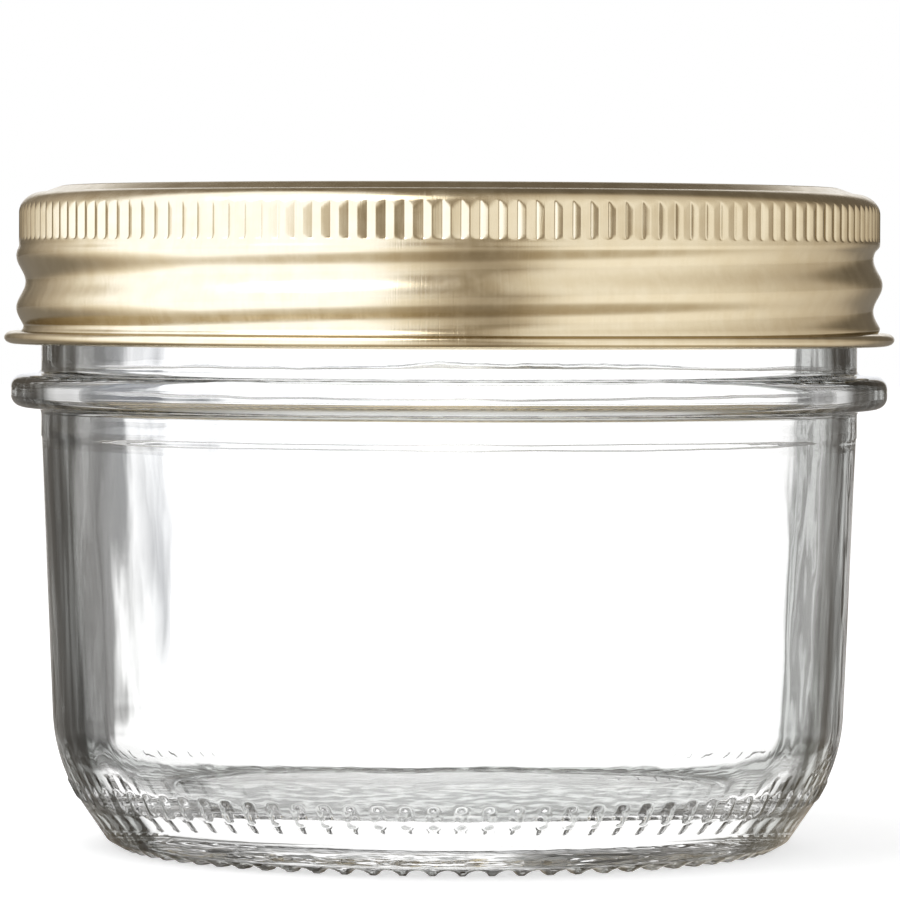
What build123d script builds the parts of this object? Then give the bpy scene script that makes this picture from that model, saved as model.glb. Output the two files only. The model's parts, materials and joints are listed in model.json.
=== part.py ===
from build123d import *
from math import atan2, cos, degrees, pi, radians, sin
import os

os.makedirs("parts", exist_ok=True)

# Screw-top preserving jar with a closed pressed-metal lid and a loose sealing capsule.
# Millimetres. The jar stands on Z = 0, Z is its axis, and the front is the -Y side.

# Glass: overall sizes
jar_height = 74.3
neck_radius = 47.4
glass_wall = 3.0
floor_thickness = 4.2
body_set_in = 0.1          # how far the body's top lies inside the neck
body_draft = 1.6           # how much smaller the radius is at the heel than at the body's top
heel_height = 9.8          # where the body's line and the heel cone would meet
heel_bend = 20.0
heel_set_in = 6.0          # from the heel's corner in to the foot's edge
foot_edge_height = 1.0
inner_heel_bend = 11.0
rim_outer_round = 0.9
rim_inner_round = 0.7

# Glass: bearing ring with its radial flutes, and the push-up inside it
rest_width = 1.4
rest_set_in = 1.8          # from the foot's edge in to the flat crest
ring_inner_width = 2.0
push_up_height = 2.2
push_up_share = 0.75       # how much of the push-up's rise is left half way out
flute_count = 72
flute_depth = 0.75
flute_width_share = 0.8    # flute's width as a share of the flutes' spacing

# Glass: carrying bead under the lid and the mould seam below it
bead_projection = 3.5
bead_thickness = 4.2
bead_draft = 0.3
bead_foot_round = 0.6
bead_tip_share = 0.36      # tip rounding as a share of the bead's thickness
seam_drop = 3.3            # from the bead's underside down to the seam

# Glass: ring of plain raised grip bars on the heel cone
bar_count = 90
bar_width = 1.3
bar_height = 0.3
bar_length = 2.4
bar_level_share = 0.66     # up the heel cone, from its foot to its corner

# Screw thread shared by the glass ridge and the rolled groove of the lid
thread_pitch = 6.0
thread_height = 1.8
thread_drop = 8.7          # from the rim down to the ridge's middle at the +X side
thread_start = -200.0      # degrees about Z
thread_end = 250.0
thread_fade = 45.0         # degrees over which each end of the ridge runs out
thread_step = 15.0
thread_half_width_share = 0.3
thread_embed = 0.4

# Sealing capsule and its ring of compound
compound_thickness = 0.9
capsule_sheet = 0.25
capsule_edge_gap = 0.3     # between the rim's outside and the capsule's turned-down edge
capsule_edge_depth = 1.4
capsule_panel_sink = 0.8
capsule_panel_slope = 1.0
capsule_corner = 0.45

# Screw lid
lid_sheet = 0.35
lid_gap = 0.1              # between the capsule and the lid's underside
lid_height = 17.8          # from the lower curl to the flat of the flange
skirt_gap = 0.85           # between the ridge's crest and the skirt's inside
groove_depth = 1.5
groove_fade = 1.6          # height over which the groove runs out at each end of the skirt
skirt_points = 29
skirt_half_steps = 12
panel_rise = 0.7
panel_set_in = 4.5         # from the knurled band in to the raised panel
panel_slope = 0.35
panel_round = 0.3
shoulder_round = 1.8
knurl_set_in = 0.3         # how far the knurled band lies inside the skirt
knurl_margin = 0.05        # from the end of the shoulder's rounding down to the knurls
knurl_height = 3.15
knurl_count = 150
knurl_depth = 0.14
knurl_width_share = 0.5
step_height = 0.8          # pressed step between the knurls and the skirt
curl_width = 1.65
curl_height = 1.45
curl_slit = 0.12
hem_height = 0.3           # plain sheet between the curl and the rolled skirt
hem_lap = 0.05             # how far the step and the hem stand proud of the rolled skirt
lower_gap = 3.1            # from the lid's lower curl down to the bead

# Places worked out from the sizes above
rim_height = jar_height
bore_radius = neck_radius - glass_wall
body_radius = neck_radius - body_set_in
heel_radius = body_radius - body_draft
foot_radius = heel_radius - heel_set_in
rest_outer = foot_radius - rest_set_in
rest_inner = rest_outer - rest_width
ring_inner = rest_inner - ring_inner_width
thread_middle = rim_height - thread_drop
crest_radius = neck_radius + thread_height
compound_top = rim_height + compound_thickness
capsule_top = compound_top + capsule_sheet
capsule_edge_inner = neck_radius + capsule_edge_gap
capsule_edge_outer = capsule_edge_inner + capsule_sheet
flange_top = capsule_top + lid_gap + lid_sheet
lid_bottom = flange_top - lid_height
bead_top = lid_bottom - lower_gap
bead_bottom = bead_top - bead_thickness
bead_radius = neck_radius + bead_projection
seam_height = bead_bottom - seam_drop
skirt_inner = crest_radius + skirt_gap
skirt_outer = skirt_inner + lid_sheet
knurl_radius = skirt_outer - knurl_set_in
knurl_top = flange_top - shoulder_round - knurl_margin
knurl_bottom = knurl_top - knurl_height
panel_radius = knurl_radius - panel_set_in
step_bottom = knurl_bottom - step_height
hem_top = lid_bottom + curl_height + hem_height
skirt_top = step_bottom + step_height / 2
skirt_bottom = hem_top - hem_height / 2


def half_plane(angle):
    """The plane through the jar's axis at this angle, with its own X pointing outwards and Y up."""
    outwards = Vector(cos(radians(angle)), sin(radians(angle)), 0)
    return Plane(origin=(0, 0, 0), x_dir=outwards, z_dir=outwards.cross(Vector(0, 0, 1)))


def smooth(value):
    """A smooth rise from 0 to 1 as the value goes from 0 to 1."""
    held = min(max(value, 0), 1)
    return held * held * (3 - 2 * held)


def ridge_middle(angle):
    """Height of the glass ridge's middle at this angle. The lid's groove runs half a pitch lower."""
    return thread_middle + thread_pitch * angle / 360


def ridge_section(angle):
    """One section of the glass ridge: a rounded crest that sinks into the neck at both ends."""
    run = min(angle - thread_start, thread_end - angle) / thread_fade
    crest = neck_radius + thread_height * smooth(run) - thread_embed * (1 - smooth(run)) / 2
    root = neck_radius - thread_embed
    half_width = thread_pitch * thread_half_width_share
    middle = ridge_middle(angle)
    with BuildSketch(half_plane(angle)) as section:
        with BuildLine():
            bump = Spline(
                (root, middle - half_width),
                ((root + 2 * crest) / 3, middle - half_width / 2),
                (crest, middle),
                ((root + 2 * crest) / 3, middle + half_width / 2),
                (root, middle + half_width),
            )
            Line(bump @ 1, bump @ 0)
        make_face()
    return section.sketch


def groove_cut(angle, height):
    """How far the lid's sheet is rolled in at this angle and height."""
    span = min(height - hem_top, step_bottom - height)
    wave = (1 - cos(2 * pi * (height - ridge_middle(angle)) / thread_pitch)) / 2
    return groove_depth * wave * smooth(span / groove_fade)


def skirt_section(angle):
    """One section of the lid's skirt: the same wave outside and inside, a sheet apart."""
    rise = (skirt_top - skirt_bottom) / (skirt_points - 1)
    heights = [skirt_bottom + rise * n for n in range(skirt_points)]
    outside = [(skirt_outer - groove_cut(angle, height), height) for height in heights]
    inside = [(radius - lid_sheet, height) for radius, height in outside]
    with BuildSketch(half_plane(angle)) as section:
        with BuildLine():
            outer = Spline(*outside)
            inner = Spline(*inside)
            Line(outer @ 0, inner @ 0)
            Line(outer @ 1, inner @ 1)
        make_face()
    return section.sketch


def cap_section(inset):
    """Half of the lid's closed top, filled down to the knurls, drawn a distance inside its outer face."""
    with BuildSketch(Plane.XZ) as section:
        with BuildLine():
            outline = FilletPolyline(
                (0, flange_top + panel_rise - inset),
                (panel_radius - inset, flange_top + panel_rise - inset),
                (panel_radius + panel_slope - inset, flange_top - inset),
                (knurl_radius - inset, flange_top - inset),
                (knurl_radius - inset, knurl_top),
                radius=[panel_round, panel_round, shoulder_round - inset],
            )
            Polyline(outline @ 1, (0, knurl_top), outline @ 0)
        make_face()
    return section.sketch


# Glass jar: one moulded piece
with BuildPart() as glass_jar:
    with BuildSketch(Plane.XZ):
        with BuildLine():
            underside = ThreePointArc(
                (0, push_up_height),
                (ring_inner / 2, foot_edge_height + (push_up_height - foot_edge_height) * push_up_share),
                (ring_inner, foot_edge_height),
            )
            outside = FilletPolyline(
                underside @ 1,
                (rest_inner, 0),
                (rest_outer, 0),
                (foot_radius, foot_edge_height),
                (heel_radius, heel_height),
                (body_radius, seam_height),
                radius=[0, 0, 0, heel_bend],
            )
            finish = FilletPolyline(
                (neck_radius, seam_height),
                (neck_radius, bead_bottom),
                (bead_radius, bead_bottom + bead_draft),
                (bead_radius, bead_top - bead_draft),
                (neck_radius, bead_top),
                (neck_radius, rim_height),
                (bore_radius, rim_height),
                (bore_radius, bead_bottom),
                radius=[
                    bead_foot_round,
                    bead_thickness * bead_tip_share,
                    bead_thickness * bead_tip_share,
                    bead_foot_round,
                    rim_outer_round,
                    rim_inner_round,
                ],
            )
            inside = FilletPolyline(
                finish @ 1,
                (heel_radius - glass_wall, floor_thickness),
                (0, floor_thickness),
                radius=inner_heel_bend,
            )
            Line(outside @ 1, finish @ 0)
            Line(inside @ 1, underside @ 0)
        make_face()
    revolve(axis=Axis.Z)

    # Thread ridge on the neck
    ridge_steps = round((thread_end - thread_start) / thread_step)
    for n in range(ridge_steps + 1):
        add(ridge_section(thread_start + (thread_end - thread_start) * n / ridge_steps))
    loft()

    # Radial flutes across the bearing ring
    flute_spacing = 2 * pi * rest_outer / flute_count
    flute_chord = flute_spacing * flute_width_share
    flute_radius = (flute_chord**2 / 4 + flute_depth**2) / (2 * flute_depth)
    with Locations((0, 0, flute_depth - flute_radius)):
        with PolarLocations(rest_inner + rest_width / 2, flute_count):
            Cylinder(flute_radius, foot_radius - ring_inner, rotation=(0, 90, 0), mode=Mode.SUBTRACT)

    # Raised grip bars that lie along the slope of the heel cone
    heel_rise = heel_height - foot_edge_height
    heel_tilt = atan2(heel_set_in, heel_rise)
    bar_round = (bar_width**2 / 4 + bar_height**2) / (2 * bar_height)
    bar_sink = bar_round - bar_height
    bar_circle = foot_radius + heel_set_in * bar_level_share - bar_sink * cos(heel_tilt)
    with Locations((0, 0, foot_edge_height + heel_rise * bar_level_share + bar_sink * sin(heel_tilt))):
        with PolarLocations(bar_circle, bar_count):
            Cylinder(bar_round, bar_length, rotation=(0, degrees(heel_tilt), 0))

# Sealing capsule: a pressed disc with a turned-down edge that centres it on the rim
with BuildPart() as sealing_disc:
    with BuildSketch(Plane.XZ):
        for inset in (0, capsule_sheet):
            with BuildLine():
                outline = FilletPolyline(
                    (0, capsule_top - capsule_panel_sink - inset),
                    (bore_radius - capsule_panel_slope - inset, capsule_top - capsule_panel_sink - inset),
                    (bore_radius - inset, capsule_top - inset),
                    (capsule_edge_outer - inset, capsule_top - inset),
                    (capsule_edge_outer - inset, capsule_top - capsule_edge_depth),
                    radius=[capsule_sheet, capsule_sheet, capsule_corner - inset],
                )
                Polyline(outline @ 1, (0, capsule_top - capsule_edge_depth), outline @ 0)
            make_face(mode=Mode.SUBTRACT if inset else Mode.ADD)
    revolve(axis=Axis.Z)

# Sealing ring: compound flowed into the capsule's channel, flat where it meets the rim
with BuildPart() as sealing_ring:
    with BuildSketch(Plane.XZ):
        with Locations(((bore_radius + neck_radius) / 2, (rim_height + compound_top) / 2)):
            Rectangle(glass_wall, compound_thickness)
    revolve(axis=Axis.Z)

# Screw lid: one pressed sheet, with a raised panel, knurled band, rolled groove and lower curl
with BuildPart() as screw_lid:
    # Closed top down to the knurls
    add(cap_section(0))
    revolve(axis=Axis.Z)
    add(cap_section(lid_sheet))
    revolve(axis=Axis.Z, mode=Mode.SUBTRACT)

    # Band with pressed knurls, and the step from it out to the skirt
    knurl_chord = 2 * pi * knurl_radius / knurl_count * knurl_width_share
    knurl_cutter = (knurl_chord**2 / 4 + knurl_depth**2) / (2 * knurl_depth)
    with BuildSketch(Plane.XY.offset(knurl_bottom)):
        Circle(knurl_radius)
        with PolarLocations(knurl_radius + knurl_cutter - knurl_depth, knurl_count):
            Circle(knurl_cutter, mode=Mode.SUBTRACT)
        Circle(knurl_radius - lid_sheet, mode=Mode.SUBTRACT)
    extrude(amount=knurl_height)
    with BuildSketch(Plane.XY.offset(step_bottom)):
        Circle(skirt_outer + hem_lap)
        Circle(knurl_radius - lid_sheet, mode=Mode.SUBTRACT)
    extrude(amount=step_height)

    # Skirt with the rolled groove, made in two half turns
    for half in range(2):
        for n in range(skirt_half_steps + 1):
            add(skirt_section(180 * half + 180 * n / skirt_half_steps))
        loft()

    # Plain hem and the curl at the lid's lower edge
    with BuildSketch(Plane.XZ):
        hem_inner = skirt_inner - hem_lap
        hem_outer = skirt_outer + hem_lap
        curl_middle = lid_bottom + curl_height / 2
        with Locations((hem_inner + curl_width / 2, curl_middle)):
            Ellipse(curl_width / 2, curl_height / 2)
            Ellipse(curl_width / 2 - lid_sheet, curl_height / 2 - lid_sheet, mode=Mode.SUBTRACT)
        with Locations(((hem_inner + hem_outer) / 2, (curl_middle + hem_top) / 2)):
            Rectangle(hem_outer - hem_inner, hem_top - curl_middle)
        with Locations((hem_outer + curl_slit / 2, (curl_middle + hem_top) / 2)):
            Rectangle(curl_slit, hem_top - curl_middle, mode=Mode.SUBTRACT)
    revolve(axis=Axis.Z)

glass_jar.part.label = "glass_jar"
export_step(glass_jar.part, "parts/glass_jar.step")

sealing_disc.part.label = "sealing_disc"
export_step(sealing_disc.part, "parts/sealing_disc.step")

sealing_ring.part.label = "sealing_ring"
export_step(sealing_ring.part, "parts/sealing_ring.step")

screw_lid.part.label = "screw_lid"
export_step(screw_lid.part, "parts/screw_lid.step")
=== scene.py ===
import json
import math

import bpy
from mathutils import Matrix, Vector


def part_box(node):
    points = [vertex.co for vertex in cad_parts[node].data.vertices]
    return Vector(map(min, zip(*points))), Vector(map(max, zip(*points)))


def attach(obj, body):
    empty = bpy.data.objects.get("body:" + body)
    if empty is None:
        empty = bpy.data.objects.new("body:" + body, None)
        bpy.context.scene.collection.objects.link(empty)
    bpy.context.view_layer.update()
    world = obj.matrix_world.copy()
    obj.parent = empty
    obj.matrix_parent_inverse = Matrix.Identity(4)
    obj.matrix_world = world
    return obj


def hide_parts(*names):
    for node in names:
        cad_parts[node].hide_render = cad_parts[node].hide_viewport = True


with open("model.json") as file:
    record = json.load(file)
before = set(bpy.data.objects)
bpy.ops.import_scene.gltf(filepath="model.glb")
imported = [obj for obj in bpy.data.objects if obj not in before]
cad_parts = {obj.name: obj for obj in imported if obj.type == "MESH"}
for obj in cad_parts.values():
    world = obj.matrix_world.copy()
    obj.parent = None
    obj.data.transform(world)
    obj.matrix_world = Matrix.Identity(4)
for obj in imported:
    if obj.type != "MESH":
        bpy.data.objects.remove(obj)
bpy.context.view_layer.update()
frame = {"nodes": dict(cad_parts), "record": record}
print("frame loaded:", sorted(frame["nodes"]))

# Metres. The jar stands on z = 0, z is its axis, and the front is towards -Y.
tiny = 1e-6
nodeBody = {node: body for body, nodes in frame["record"]["behaviour"]["bodies"].items() for node in nodes}
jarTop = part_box("glass_jar")[1].z
ringLow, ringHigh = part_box("sealing_ring")
capsuleLow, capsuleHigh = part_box("sealing_disc")
lidLow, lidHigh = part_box("screw_lid")


# Trees of nodes, for shapes and for materials

floatKind = "NodeSocketFloat"
white = (1.0, 1.0, 1.0, 1.0)


class TreeMaker:
    def __init__(self, tree):
        self.tree = tree

    def add(self, kind, values=None, **settings):
        node = self.tree.nodes.new(kind)
        for key, value in settings.items():
            setattr(node, key, value)
        for socket, value in (values or {}).items():
            if isinstance(value, bpy.types.NodeSocket):
                self.link(value, node.inputs[socket])
            else:
                node.inputs[socket].default_value = value
        return node

    def link(self, start, end):
        self.tree.links.new(start, end)

    def math(self, operation, *values, clamp=False):
        sockets = dict(enumerate(values))
        return self.add("ShaderNodeMath", sockets, operation=operation, use_clamp=clamp).outputs[0]

    def ramp(self, value, low, high, start=0.0, end=1.0, kind="SMOOTHSTEP"):
        sockets = {0: value, 1: low, 2: high, 3: start, 4: end}
        return self.add("ShaderNodeMapRange", sockets, interpolation_type=kind).outputs[0]

    def split(self, vector):
        return self.add("ShaderNodeSeparateXYZ", {0: vector}).outputs

    def join(self, x, y, z):
        return self.add("ShaderNodeCombineXYZ", {0: x, 1: y, 2: z}).outputs[0]

    def blend(self, part, first, second):
        return self.add("ShaderNodeMix", {0: part, 6: first, 7: second}, data_type="RGBA").outputs[2]

    def tint(self, color, filterColor):
        return self.add("ShaderNodeVectorMath", {0: color, 1: filterColor}, operation="MULTIPLY").outputs[0]

    def dim(self, color, level):
        return self.add("ShaderNodeVectorMath", {0: color, 3: level}, operation="SCALE").outputs[0]

    def stretch(self, place, scale, turn=(0.0, 0.0, 0.0)):
        return self.add("ShaderNodeMapping", {"Vector": place, "Rotation": turn, "Scale": scale}).outputs[0]

    def noise(self, place, scale=1.0, detail=2.0):
        return self.add("ShaderNodeTexNoise", {"Vector": place, "Scale": scale, "Detail": detail}).outputs[0]

    def bump(self, height, strength, distance):
        sockets = {"Strength": strength, "Distance": distance, "Height": height}
        return self.add("ShaderNodeBump", sockets).outputs[0]


def newTree(name, kind, inputs, outputs):
    # inputs: name to a number or to (socket kind, default); outputs: name to socket kind
    tree = bpy.data.node_groups.new(name, kind)
    for socketName, wanted in inputs.items():
        socketKind, value = wanted if isinstance(wanted, tuple) else (floatKind, wanted)
        socket = tree.interface.new_socket(socketName, in_out="INPUT", socket_type=socketKind)
        if value is not None:
            socket.default_value = value
    for socketName, socketKind in outputs.items():
        tree.interface.new_socket(socketName, in_out="OUTPUT", socket_type=socketKind)
    maker = TreeMaker(tree)
    return maker, maker.add("NodeGroupInput").outputs, maker.add("NodeGroupOutput").inputs


def useGroup(maker, tree, values):
    return maker.add(tree.bl_idname.replace("Tree", "Group"), values, node_tree=tree).outputs


# Outlines of the turned pieces: points are (radius, height)

def smooth(value):
    held = min(max(value, 0.0), 1.0)
    return held * held * (3 - 2 * held)


def addRun(line, end, spacing):
    start = line[-1]
    length = (end - start).length
    if length < tiny:
        return
    steps = max(1, math.ceil(length / spacing - 0.01))
    for step in range(1, steps + 1):
        line.append(start.lerp(end, step / steps))


def roundedLine(corners, spacing, arcStep=12.0):
    # corners: (radius, height, rounding). Straight runs are divided at the spacing, bends at arcStep degrees.
    places = [Vector(corner[:2]) for corner in corners]
    line = [places[0]]
    for here in range(1, len(places) - 1):
        place = places[here]
        rounding = corners[here][2] if len(corners[here]) > 2 else 0.0
        toBack = (places[here - 1] - place).normalized()
        toAhead = (places[here + 1] - place).normalized()
        turn = math.pi - toBack.angle(toAhead)
        if rounding <= 0 or turn < 0.01:
            addRun(line, place, spacing)
            continue
        cut = rounding * math.tan(turn / 2)
        centre = place + (toBack + toAhead).normalized() * rounding / math.cos(turn / 2)
        first = place + toBack * cut
        addRun(line, first, spacing)
        start = first - centre
        finish = place + toAhead * cut - centre
        spread = math.atan2(start.x * finish.y - start.y * finish.x, start.dot(finish))
        steps = max(2, math.ceil(math.degrees(turn) / arcStep))
        for step in range(1, steps + 1):
            bend = spread * step / steps
            line.append(centre + Vector((
                start.x * math.cos(bend) - start.y * math.sin(bend),
                start.x * math.sin(bend) + start.y * math.cos(bend),
            )))
    addRun(line, places[-1], spacing)
    return line


def ellipseLine(centre, across, up, fromAngle, toAngle, steps):
    angles = [math.radians(fromAngle + (toAngle - fromAngle) * step / steps) for step in range(steps + 1)]
    return [Vector((centre[0] + across * math.cos(a), centre[1] + up * math.sin(a))) for a in angles]


def outlineObject(name, runs, maskNames):
    # Loose edges along the runs, with a value at each point for each mask and for the way outwards.
    # A run's skip is how many columns its rows stride over.
    line = []
    masks = {mask: [] for mask in ("skip", *maskNames)}
    for run in runs:
        for point in run["line"]:
            if line and (point - line[-1]).length < tiny:
                continue
            line.append(point)
            for mask in masks:
                value = run.get(mask, 1 if mask == "skip" else 0)
                masks[mask].append(float(value(point) if callable(value) else value))
    masks["outwards"] = []
    masks["upwards"] = []
    for here in range(len(line)):
        along = (line[min(here + 1, len(line) - 1)] - line[max(here - 1, 0)]).normalized()
        masks["outwards"].append(along.y)
        masks["upwards"].append(-along.x)
    mesh = bpy.data.meshes.new(name)
    mesh.from_pydata([(p.x, 0.0, p.y) for p in line], [(n, n + 1) for n in range(len(line) - 1)], [])
    for mask, values in masks.items():
        mesh.attributes.new(mask, "FLOAT", "POINT").data.foreach_set("value", values)
    piece = bpy.data.objects.new(name, mesh)
    bpy.context.scene.collection.objects.link(piece)
    return piece


# Geometry node groups: an outline turned about the axis, and the reliefs worked into it

def rowValue(maker, outline, row, name):
    stored = maker.add("GeometryNodeInputNamedAttribute", {"Name": name}, data_type="FLOAT").outputs[0]
    sockets = {"Geometry": outline, "Value": stored, "Index": row}
    return maker.add("GeometryNodeSampleIndex", sockets).outputs[0]


def makeTurnedGrid():
    maker, given, result = newTree("turnedGrid", "GeometryNodeTree", {
        "Outline": ("NodeSocketGeometry", None),
        "Columns": ("NodeSocketInt", 360),
        "Crowd Count": 1.0,
        "Crowding": 0.0,
    }, {
        "Grid": "NodeSocketGeometry",
        "Row": "NodeSocketInt",
        "Turns": floatKind,
        "Radius": floatKind,
        "Height": floatKind,
    })
    outline = given["Outline"]
    rows = maker.add("GeometryNodeAttributeDomainSize", {"Geometry": outline}).outputs["Point Count"]
    ends = maker.math("ADD", given["Columns"], 1)
    grid = maker.add("GeometryNodeMeshGrid", {"Vertices X": ends, "Vertices Y": rows})
    index = maker.add("GeometryNodeInputIndex").outputs[0]
    column = maker.add("FunctionNodeIntegerMath", {0: index, 1: rows}, operation="DIVIDE_FLOOR").outputs[0]
    row = maker.add("FunctionNodeIntegerMath", {0: index, 1: rows}, operation="MODULO").outputs[0]
    skip = rowValue(maker, outline, row, "skip")
    kept = maker.math("SNAP", maker.math("ADD", column, 0.01), skip)
    place = maker.add("GeometryNodeInputPosition").outputs[0]
    sockets = {"Geometry": outline, "Value": place, "Index": row}
    parts = maker.split(maker.add("GeometryNodeSampleIndex", sockets, data_type="FLOAT_VECTOR").outputs[0])
    # Columns can crowd towards the bottoms and the backs of a row of knurls
    turns = maker.math("FRACT", maker.math("DIVIDE", kept, given["Columns"]))
    speed = maker.math("MULTIPLY", given["Crowd Count"], 2 * math.tau)
    wave = maker.math("SINE", maker.math("MULTIPLY", turns, speed))
    shift = maker.math("DIVIDE", maker.math("MULTIPLY", wave, given["Crowding"]), speed)
    maker.link(grid.outputs["Mesh"], result["Grid"])
    maker.link(row, result["Row"])
    maker.link(maker.math("SUBTRACT", turns, shift), result["Turns"])
    maker.link(parts[0], result["Radius"])
    maker.link(parts[2], result["Height"])
    return maker.tree


def makeTurnedSkin():
    # Places the grid's points, and closes the seam and the poles
    maker, given, result = newTree("turnedSkin", "GeometryNodeTree", {
        "Grid": ("NodeSocketGeometry", None),
        "Turns": 0.0,
        "Radius": 0.0,
        "Height": 0.0,
        "Start Angle": 0.0,
        "Knurl Count": 1.0,
        "Knurl Lean": 0.0,
        "Material": ("NodeSocketMaterial", None),
    }, {"Piece": "NodeSocketGeometry"})
    # The bottom of each knurl is pushed along, so that one flank is broad and the other steep
    part = maker.math("FRACT", maker.math("MULTIPLY", given["Turns"], given["Knurl Count"]))
    peak = maker.math("SUBTRACT", 1.0, maker.math("ABSOLUTE", maker.math("MULTIPLY_ADD", part, 2.0, -1.0)))
    shift = maker.math("DIVIDE", maker.math("MULTIPLY", peak, given["Knurl Lean"]), given["Knurl Count"])
    turns = maker.math("ADD", given["Turns"], shift)
    angle = maker.math("MULTIPLY_ADD", turns, math.tau, given["Start Angle"])
    place = maker.join(
        maker.math("MULTIPLY", given["Radius"], maker.math("COSINE", angle)),
        maker.math("MULTIPLY", given["Radius"], maker.math("SINE", angle)),
        given["Height"],
    )
    placed = maker.add("GeometryNodeSetPosition", {"Geometry": given["Grid"], "Position": place}).outputs[0]
    closed = maker.add("GeometryNodeMergeByDistance", {"Geometry": placed, "Distance": tiny}).outputs[0]
    shaded = maker.add("GeometryNodeSetShadeSmooth", {"Geometry": closed}).outputs[0]
    single = maker.add("GeometryNodeRealizeInstances", {"Geometry": shaded}).outputs[0]
    finished = maker.add("GeometryNodeSetMaterial", {"Geometry": single, "Material": given["Material"]})
    maker.link(finished.outputs[0], result["Piece"])
    return maker.tree


def makeRolledGroove():
    # The lid's groove: a wave in the sheet that climbs one pitch in a turn
    maker, given, result = newTree("rolledGroove", "GeometryNodeTree", {
        "Turns": 0.0,
        "Height": 0.0,
        "Mask": 0.0,
        "Pitch": 0.006,
        "Middle": 0.0,
        "Depth": 0.001,
    }, {"Inset": floatKind})
    level = maker.math("DIVIDE", maker.math("SUBTRACT", given["Height"], given["Middle"]), given["Pitch"])
    phase = maker.math("MULTIPLY", maker.math("SUBTRACT", level, given["Turns"]), math.tau)
    wave = maker.math("MULTIPLY", maker.math("COSINE", phase), -0.5)
    depth = maker.math("MULTIPLY", given["Depth"], given["Mask"])
    maker.link(maker.math("MULTIPLY", wave, depth), result["Inset"])
    return maker.tree


def makeThreadRidge():
    # The neck's ridge: one thread, which fades out at both ends
    maker, given, result = newTree("threadRidge", "GeometryNodeTree", {
        "Turns": 0.0,
        "Height": 0.0,
        "Mask": 0.0,
        "Pitch": 0.006,
        "Middle": 0.0,
        "Rise": 0.001,
        "Half Width": 0.3,
        "Start": 0.0,
        "End": 1.0,
        "Fade": 0.1,
    }, {"Rise": floatKind})
    level = maker.math("DIVIDE", maker.math("SUBTRACT", given["Height"], given["Middle"]), given["Pitch"])
    apart = maker.math("SUBTRACT", level, given["Turns"])
    whole = maker.math("ROUND", apart)
    off = maker.math("ABSOLUTE", maker.math("SUBTRACT", apart, whole))
    off = maker.math("MINIMUM", maker.math("DIVIDE", off, given["Half Width"]), 1.0)
    bump = maker.math("MULTIPLY_ADD", maker.math("COSINE", maker.math("MULTIPLY", off, math.pi)), 0.5, 0.5)
    travelled = maker.math("ADD", given["Turns"], whole)
    fromStart = maker.math("SUBTRACT", travelled, given["Start"])
    toEnd = maker.math("SUBTRACT", given["End"], travelled)
    run = maker.math("DIVIDE", maker.math("MINIMUM", fromStart, toEnd), given["Fade"])
    rise = maker.math("MULTIPLY", given["Rise"], given["Mask"])
    rise = maker.math("MULTIPLY", rise, maker.ramp(run, 0.0, 1.0))
    maker.link(maker.math("MULTIPLY", bump, rise), result["Rise"])
    return maker.tree


def makeKnurls():
    # Pressed knurls, each a V with one flank nearly flat and one steepest at the bottom, which narrows
    # where the mask falls off
    maker, given, result = newTree("knurls", "GeometryNodeTree", {
        "Turns": 0.0,
        "Mask": 0.0,
        "Count": 150.0,
        "Depth": 0.0001,
        "Near Bend": 0.97,
        "Far Bend": 0.62,
    }, {"Inset": floatKind})
    part = maker.math("FRACT", maker.math("MULTIPLY", given["Turns"], given["Count"]))
    off = maker.math("ABSOLUTE", maker.math("SUBTRACT", maker.math("MULTIPLY", part, 2.0), 1.0))
    far = maker.math("GREATER_THAN", part, 0.5)
    bend = maker.add("ShaderNodeMix", {0: far, 2: given["Near Bend"], 3: given["Far Bend"]}).outputs[0]
    groove = maker.math("SUBTRACT", 1.0, maker.math("POWER", off, bend))
    shaped = maker.math("SUBTRACT", groove, maker.math("SUBTRACT", 1.0, given["Mask"]), clamp=True)
    maker.link(maker.math("MULTIPLY", shaped, given["Depth"]), result["Inset"])
    return maker.tree


def makeArcRow():
    # Height of a round-backed bar or flute at this turn, one of many round the axis
    maker, given, result = newTree("arcRow", "GeometryNodeTree", {
        "Turns": 0.0,
        "Count": 72.0,
        "Width": 0.001,
        "Rise": 0.0003,
        "Radius": 0.04,
    }, {"Rise": floatKind})
    part = maker.math("FRACT", maker.math("MULTIPLY_ADD", given["Turns"], given["Count"], 0.5))
    spacing = maker.math("DIVIDE", maker.math("MULTIPLY", given["Radius"], math.tau), given["Count"])
    side = maker.math("MULTIPLY", maker.math("SUBTRACT", part, 0.5), spacing)
    half = maker.math("DIVIDE", given["Width"], 2.0)
    riseSquared = maker.math("MULTIPLY", given["Rise"], given["Rise"])
    squares = maker.math("ADD", maker.math("MULTIPLY", half, half), riseSquared)
    bend = maker.math("DIVIDE", squares, maker.math("MULTIPLY", given["Rise"], 2.0))
    inside = maker.math("SUBTRACT", maker.math("MULTIPLY", bend, bend), maker.math("MULTIPLY", side, side))
    arc = maker.math("SUBTRACT", maker.math("SQRT", maker.math("MAXIMUM", inside, 0.0)), bend)
    maker.link(maker.math("MAXIMUM", maker.math("ADD", arc, given["Rise"]), 0.0), result["Rise"])
    return maker.tree


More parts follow.
